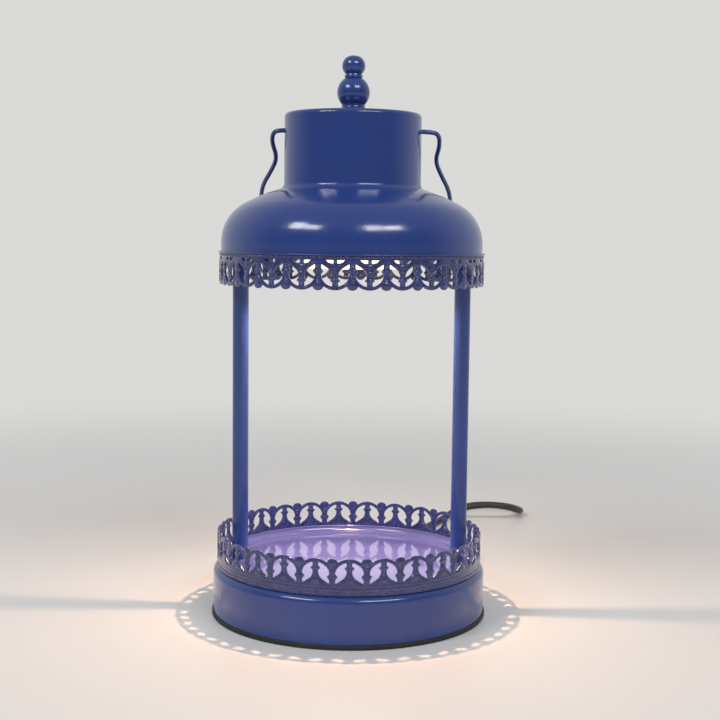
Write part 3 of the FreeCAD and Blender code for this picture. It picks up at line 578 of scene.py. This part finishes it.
def cellRelief(solid, centre, halfLeft, halfRight, face, shape):
    low, high = shape["ring low"], shape["ring high"]
    middle = (shape["ring bore"] + shape["ring outer"]) / 2
    for along, up, arc in ((0, low, "low arc"), (halfRight, high, "right arc"),
                           (-halfLeft, high, "left arc")):
        ring = arcPoints((along, up), middle, *shape[arc])
        addRidge(solid, shifted(ring, centre), face, shape["ridge"], shape)
    for up, size in balusterBosses:
        addBoss(solid, (centre, up), face, size, shape)
    apart, up, size = balusterKnobs
    for side in (-1, 1):
        addBoss(solid, (centre + side * apart, up), face, size, shape)
        leaf = [(side * along, height) for along, height in leafPoints]
        addRidge(solid, shifted(leaf, centre), face, shape["leaf ridge"], shape)
    bud = centre + halfRight
    for up, size in budBosses:
        addBoss(solid, (bud, up), face, size, shape)
    apart, up, size = budKnobs
    for side in (-1, 1):
        addBoss(solid, (bud + side * apart, up), face, size, shape)


def drawStrip(strip, shape, first, start):
    # outline, openings and each cell's (centre, left half, right half)
    radius = strip["outer radius"]
    outline = []
    openings = []
    cells = []
    for cell in range(first, first + shape["cells"]):
        angle = cellAngle(cell, strip["phase"], shape)
        centre = math.radians(angle - start) * radius
        left, right = [math.radians(abs(cellAngle(cell + side, strip["phase"], shape) - angle)) * radius / 2
                       for side in (-1, 1)]
        outline += shifted(mirrored(crownOutline(left, shape)), centre)
        outline += shifted(crownOutline(right, shape)[1:], centre)
        openings.append(shifted(mirrored(commaOutline(left, shape)), centre))
        openings.append(shifted(commaOutline(right, shape), centre))
        if strip["windows"]:
            openings.append(shifted(mirrored(windowPoints), centre))
            openings.append(shifted(windowPoints, centre))
        cells.append((centre, left, right))
    whole = 2 * math.pi * radius
    steps = int(whole / shape["step"])
    bottom = [(whole * (1 - k / steps), strip["cut"]) for k in range(steps + 1)]
    outline = [(0, outline[0][1])] + outline + [(whole, outline[-1][1])] + bottom
    return outline, openings, cells


def stripRelief(solid, cells, strip, shape):
    whole = 2 * math.pi * strip["outer radius"]
    for centre, left, right in cells:
        for face in (1, -1):
            cellRelief(solid, centre, left, right, face, shape)
    beads = int(whole / shape["bead pitch"])
    bead = shape["bead radius"]
    beadSize = (bead, bead * strip["bead stretch"], bead * shape["bead rise"])
    for k in range(beads):
        for face in (1, -1):
            addBoss(solid, (whole * (k + 0.5) / beads, strip["bead height"]), face, beadSize, shape)
    steps = shape["fillet steps"]
    for up, ridge in strip["fillets"]:
        path = [(whole * k / steps, up) for k in range(steps + 1)]
        for face in (1, -1):
            addRidge(solid, path, face, ridge, shape)


def bendStrip(verts, strip, shape, start):
    radius, sense = strip["outer radius"], strip["sense"]
    bent = []
    for along, up, depth in verts:
        angle = sense * (math.radians(start) + along / radius)
        reach = radius - shape["thickness"] / 2 + depth
        bent.append((reach * math.cos(angle) * mm, reach * math.sin(angle) * mm,
                     (strip["base"] + sense * up) * mm))
    return bent


def makeStrip(name, node, strip, shape):
    first = shape["cells"] // 2
    start = (cellAngle(first - 1, strip["phase"], shape) + cellAngle(first, strip["phase"], shape)) / 2
    outline, openings, cells = drawStrip(strip, shape, first, start)
    plate = plateMesh(outline, openings, shape)
    cutAcross(plate, 2 * math.pi * strip["outer radius"], shape)
    verts = [tuple(vert.co) for vert in plate.vertices]
    faces = [tuple(polygon.vertices) for polygon in plate.polygons]
    stripRelief((verts, faces), cells, strip, shape)
    mesh = bpy.data.meshes.new(name)
    mesh.from_pydata(bendStrip(verts, strip, shape, start), [], faces)
    bm = bmesh.new()
    bm.from_mesh(mesh)
    bmesh.ops.remove_doubles(bm, verts=bm.verts, dist=shape["weld"] * mm)
    bmesh.ops.recalc_face_normals(bm, faces=bm.faces)
    bm.to_mesh(mesh)
    bm.free()
    mesh.polygons.foreach_set("use_smooth", [True] * len(mesh.polygons))
    mesh.set_sharp_from_angle(angle=math.radians(shape["sharp angle"]))
    mesh.materials.append(materials["gallery_enamel"])
    piece = bpy.data.objects.new(name, mesh)
    scene.collection.objects.link(piece)
    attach(piece, "root")
    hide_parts(node)


trayStrip = {
    "outer radius": 70.05, "phase": -87.71, "base": 26.1, "sense": 1, "cut": 0.0, "windows": False,
    "bead height": 1.75, "bead stretch": 1.2, "fillets": [(0.5, 0.24), (3.55, 0.36), (5.3, 0.2)],
}
shadeStrip = {
    "outer radius": 69.1, "phase": 94.58, "base": 193.3, "sense": -1, "cut": 2.0, "windows": True,
    "bead height": 2.95, "bead stretch": 0.9, "fillets": [(2.35, 0.2), (3.7, 0.22)],
}
makeStrip("trayFretwork", "base_gallery", trayStrip, stripShape)
makeStrip("shadeFretwork", "shade_gallery", shadeStrip, stripShape)
print("fretwork bent")


# tray, turned smooth, with rings on its floor that keep the floor flat in its reflections
trayPan = {
    "corners": [  # radius, height, rounding
        (0, 26.0, 0), (69.1, 26.0, 4.5), (69.1, 30.8, 0.45),
        (68.1, 30.8, 0.45), (68.1, 27.0, 3.5), (0, 27.0, 0),
    ],
    "floor rings": [64.3, 63.6, 52.0, 30.0, 8.0],
    "segments": 160,
    "sharp angle": 40,
}


def roundedProfile(corners, count=7):
    points = []
    for k, (radius, height, bend) in enumerate(corners):
        if bend == 0:
            points.append((radius, height))
            continue
        here = Vector((radius, height))
        back = (Vector(corners[k - 1][:2]) - here).normalized()
        ahead = (Vector(corners[k + 1][:2]) - here).normalized()
        half = back.angle(ahead) / 2
        centre = here + (back + ahead).normalized() * (bend / math.sin(half))
        first = here + back * (bend / math.tan(half)) - centre
        last = here + ahead * (bend / math.tan(half)) - centre
        sweep = first.angle_signed(last)
        for step in range(count + 1):
            turn = -sweep * step / count
            points.append((centre.x + first.x * math.cos(turn) - first.y * math.sin(turn),
                           centre.y + first.x * math.sin(turn) + first.y * math.cos(turn)))
    return points


def latheMesh(name, profile, segments):
    # profile from the axis out and back to the axis
    verts = []
    for radius, height in profile[1:-1]:
        for k in range(segments):
            turn = math.tau * k / segments
            verts.append((radius * math.cos(turn) * mm, radius * math.sin(turn) * mm, height * mm))
    faces = []
    rings = len(profile) - 2
    for ring in range(rings - 1):
        for k in range(segments):
            near, after = ring * segments + k, ring * segments + (k + 1) % segments
            faces.append((near, after, after + segments, near + segments))
    faces.append(tuple(range(segments - 1, -1, -1)))
    verts.append((0, 0, profile[-1][1] * mm))
    last = (rings - 1) * segments
    for k in range(segments):
        faces.append((last + k, last + (k + 1) % segments, len(verts) - 1))
    mesh = bpy.data.meshes.new(name)
    mesh.from_pydata(verts, [], faces)
    mesh.polygons.foreach_set("use_smooth", [True] * len(mesh.polygons))
    return mesh


def makeTray(tray):
    profile = roundedProfile(tray["corners"])
    floor = [(radius, profile[-1][1]) for radius in tray["floor rings"]]
    mesh = latheMesh("trayPan", profile[:-1] + floor + [profile[-1]], tray["segments"])
    mesh.set_sharp_from_angle(angle=math.radians(tray["sharp angle"]))
    # the tray gets the lighter copy of the navy enamel, whose colour is a painted sheen
    mesh.materials.append(materials["tray_enamel_painted_sheen"])
    piece = bpy.data.objects.new("trayPan", mesh)
    scene.collection.objects.link(piece)
    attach(piece, "root")
    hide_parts("tray")


makeTray(trayPan)


# bail of bent wire: (across, down the lean) in its own plane, which leans back from the pivot
bailWire = {
    "pivot height": 254.7, "lean": 38.15, "wire": 1.2, "head": 2.2, "head end": 32.6, "head length": 1.0,
    "bends": [
        (-33.2, 0.0), (-38.6, -0.3), (-41.9, 1.6), (-43.1, 9.0), (-41.0, 21.5), (-45.4, 33.0), (-50.6, 44.0),
        (-52.7, 57.0), (-52.3, 70.0), (-45.0, 81.5), (-27.0, 87.3), (0.0, 88.7), (27.0, 87.3), (45.0, 81.5),
        (52.6, 70.0), (53.2, 58.0), (51.4, 46.0), (46.8, 34.0), (43.4, 22.5), (45.4, 11.5), (44.9, 2.4),
        (41.0, 0.1), (33.2, 0.0),
    ],
}


def makeBail(bail):
    data = bpy.data.curves.new("bailWire", "CURVE")
    data.dimensions = "3D"
    data.resolution_u = 10
    data.bevel_depth = 1.0
    data.bevel_resolution = 5
    data.use_fill_caps = True
    lean = math.radians(bail["lean"])

    def placed(across, down):
        drop = down * math.sin(lean)
        return (across * mm, down * math.cos(lean) * mm, (bail["pivot height"] - drop) * mm, 1)

    wire = data.splines.new("NURBS")
    wire.points.add(len(bail["bends"]) - 1)
    for point, (across, down) in zip(wire.points, bail["bends"]):
        point.co = placed(across, down)
        point.radius = bail["wire"] * mm
    wire.order_u = 3
    wire.use_endpoint_u = True
    for side in (-1, 1):
        head = data.splines.new("POLY")
        head.points.add(1)
        for point, across in zip(head.points, (bail["head end"], bail["head end"] + bail["head length"])):
            point.co = placed(side * across, 0)
            point.radius = bail["head"] * mm
    data.materials.append(materials["navy_enamel"])
    piece = bpy.data.objects.new("bailWire", data)
    scene.collection.objects.link(piece)
    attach(piece, "bail")
    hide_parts("bail_handle")


makeBail(bailWire)
print("tray turned, bail bent")


# table and light
tableTop = {
    "size": 8.0,
    "light": (0.76, 0.745, 0.73), "deep": (0.73, 0.715, 0.7), "drift scale": 4,
    "roughness": 0.42,
    "fade": (0.3, 0.95),  # metres from the lamp, from the table's own surface to the backdrop
}
studio = {
    "backdrop": (0.70, 0.70, 0.685),
    "behind": (0.62, 0.63, 0.64), "front": (0.16, 0.165, 0.175), "above": (0.42, 0.43, 0.44),
    "front to behind": (-0.5, 0.5), "level to above": (0.35, 0.95),
}


def makeTable(table, backdrop):
    bm = bmesh.new()
    bmesh.ops.create_grid(bm, x_segments=8, y_segments=8, size=table["size"] / 2)
    mesh = bpy.data.meshes.new("tableTop")
    bm.to_mesh(mesh)
    bm.free()
    top = bpy.data.objects.new("tableTop", mesh)
    scene.collection.objects.link(top)
    material = bpy.data.materials.new("tableTop")
    material.use_nodes = True
    tree = material.node_tree
    shader = tree.nodes["Principled BSDF"]
    addDrift(tree, table)
    shader.inputs["Roughness"].default_value = table["roughness"]
    place = tree.nodes.new("ShaderNodeTexCoord")
    reach = tree.nodes.new("ShaderNodeVectorMath")
    reach.operation = "LENGTH"
    fade = addSpread(tree, table["fade"], smooth=True)
    glow = tree.nodes.new("ShaderNodeEmission")
    glow.inputs["Color"].default_value = (*backdrop, 1)
    mix = tree.nodes.new("ShaderNodeMixShader")
    tree.links.new(place.outputs["Object"], reach.inputs[0])
    tree.links.new(reach.outputs["Value"], fade.inputs["Value"])
    tree.links.new(fade.outputs["Result"], mix.inputs["Fac"])
    tree.links.new(shader.outputs["BSDF"], mix.inputs[1])
    tree.links.new(glow.outputs["Emission"], mix.inputs[2])
    tree.links.new(mix.outputs["Shader"], tree.nodes["Material Output"].inputs["Surface"])
    mesh.materials.append(material)


def makeWorld(settings):
    # the room is brighter behind the lamp than in front of it; the backdrop itself is one plain tone
    world = bpy.data.worlds.new("studioWorld")
    scene.world = world
    world.use_nodes = True
    tree = world.node_tree
    tree.nodes.clear()
    place = tree.nodes.new("ShaderNodeTexCoord")
    split = tree.nodes.new("ShaderNodeSeparateXYZ")
    depth = addSpread(tree, settings["front to behind"], smooth=True)
    height = addSpread(tree, settings["level to above"], smooth=True)
    around = tree.nodes.new("ShaderNodeMix")
    around.data_type = "RGBA"
    around.inputs["A"].default_value = (*settings["front"], 1)
    around.inputs["B"].default_value = (*settings["behind"], 1)
    whole = tree.nodes.new("ShaderNodeMix")
    whole.data_type = "RGBA"
    whole.inputs["B"].default_value = (*settings["above"], 1)
    room = tree.nodes.new("ShaderNodeBackground")
    seen = tree.nodes.new("ShaderNodeBackground")
    seen.inputs["Color"].default_value = (*settings["backdrop"], 1)
    rays = tree.nodes.new("ShaderNodeLightPath")
    mix = tree.nodes.new("ShaderNodeMixShader")
    end = tree.nodes.new("ShaderNodeOutputWorld")
    link = tree.links.new
    link(place.outputs["Generated"], split.inputs["Vector"])
    link(split.outputs["Y"], depth.inputs["Value"])
    link(split.outputs["Z"], height.inputs["Value"])
    link(depth.outputs["Result"], around.inputs["Factor"])
    link(around.outputs["Result"], whole.inputs["A"])
    link(height.outputs["Result"], whole.inputs["Factor"])
    link(whole.outputs["Result"], room.inputs["Color"])
    link(rays.outputs["Is Camera Ray"], mix.inputs["Fac"])
    link(room.outputs["Background"], mix.inputs[1])
    link(seen.outputs["Background"], mix.inputs[2])
    link(mix.outputs["Shader"], end.inputs["Surface"])


boxAim = {"target": (0, 0, 0.2), "distance": 2.2}
softBoxes = [
    # degrees round from the front and up, width and height in metres, power in watts
    {"name": "leftWindowA", "azimuth": -54, "elevation": 39, "size": (0.42, 0.5), "power": 9},
    {"name": "leftWindowB", "azimuth": -38, "elevation": 38, "size": (0.5, 0.36), "power": 7},
    {"name": "rightWindowA", "azimuth": 22, "elevation": 39, "size": (0.5, 0.46), "power": 8.5},
    {"name": "rightWindowB", "azimuth": 42, "elevation": 38, "size": (0.62, 0.34), "power": 9},
]
bulbLights = [
    # half angle of the cone in degrees, its soft part, power in watts
    {"name": "bulbSpill", "cone": 75, "soft": 0.3, "power": 1.6, "colour": (1.0, 0.62, 0.38)},
    {"name": "bulbBeam", "cone": 30, "soft": 0.9, "power": 4.0, "colour": (1.0, 0.64, 0.42)},
]
bulbSpot = {"place": (0, 0, 0.1828), "radius": 0.004}


def makeSoftBox(box, aim):
    data = bpy.data.lights.new(box["name"], "AREA")
    data.shape = "RECTANGLE"
    data.size, data.size_y = box["size"]
    data.energy = box["power"]
    lamp = bpy.data.objects.new(box["name"], data)
    scene.collection.objects.link(lamp)
    azimuth, elevation = math.radians(box["azimuth"]), math.radians(box["elevation"])
    way = Vector((math.sin(azimuth) * math.cos(elevation), -math.cos(azimuth) * math.cos(elevation),
                  math.sin(elevation)))
    lamp.location = Vector(aim["target"]) + way * aim["distance"]
    lamp.rotation_mode = "QUATERNION"
    lamp.rotation_quaternion = (-way).to_track_quat("-Z", "Y")


def makeBulbLight(bulb, spot):
    data = bpy.data.lights.new(bulb["name"], "SPOT")
    data.spot_size = math.radians(2 * bulb["cone"])
    data.spot_blend = bulb["soft"]
    data.shadow_soft_size = spot["radius"]
    data.energy = bulb["power"]
    data.color = bulb["colour"]
    lamp = bpy.data.objects.new(bulb["name"], data)
    scene.collection.objects.link(lamp)
    lamp.location = spot["place"]


makeTable(tableTop, studio["backdrop"])
makeWorld(studio)
for softBox in softBoxes:
    makeSoftBox(softBox, boxAim)
for bulb in bulbLights:
    makeBulbLight(bulb, bulbSpot)
scene.view_settings.view_transform = "Standard"
print("table and light set")

bpy.context.view_layer.update()
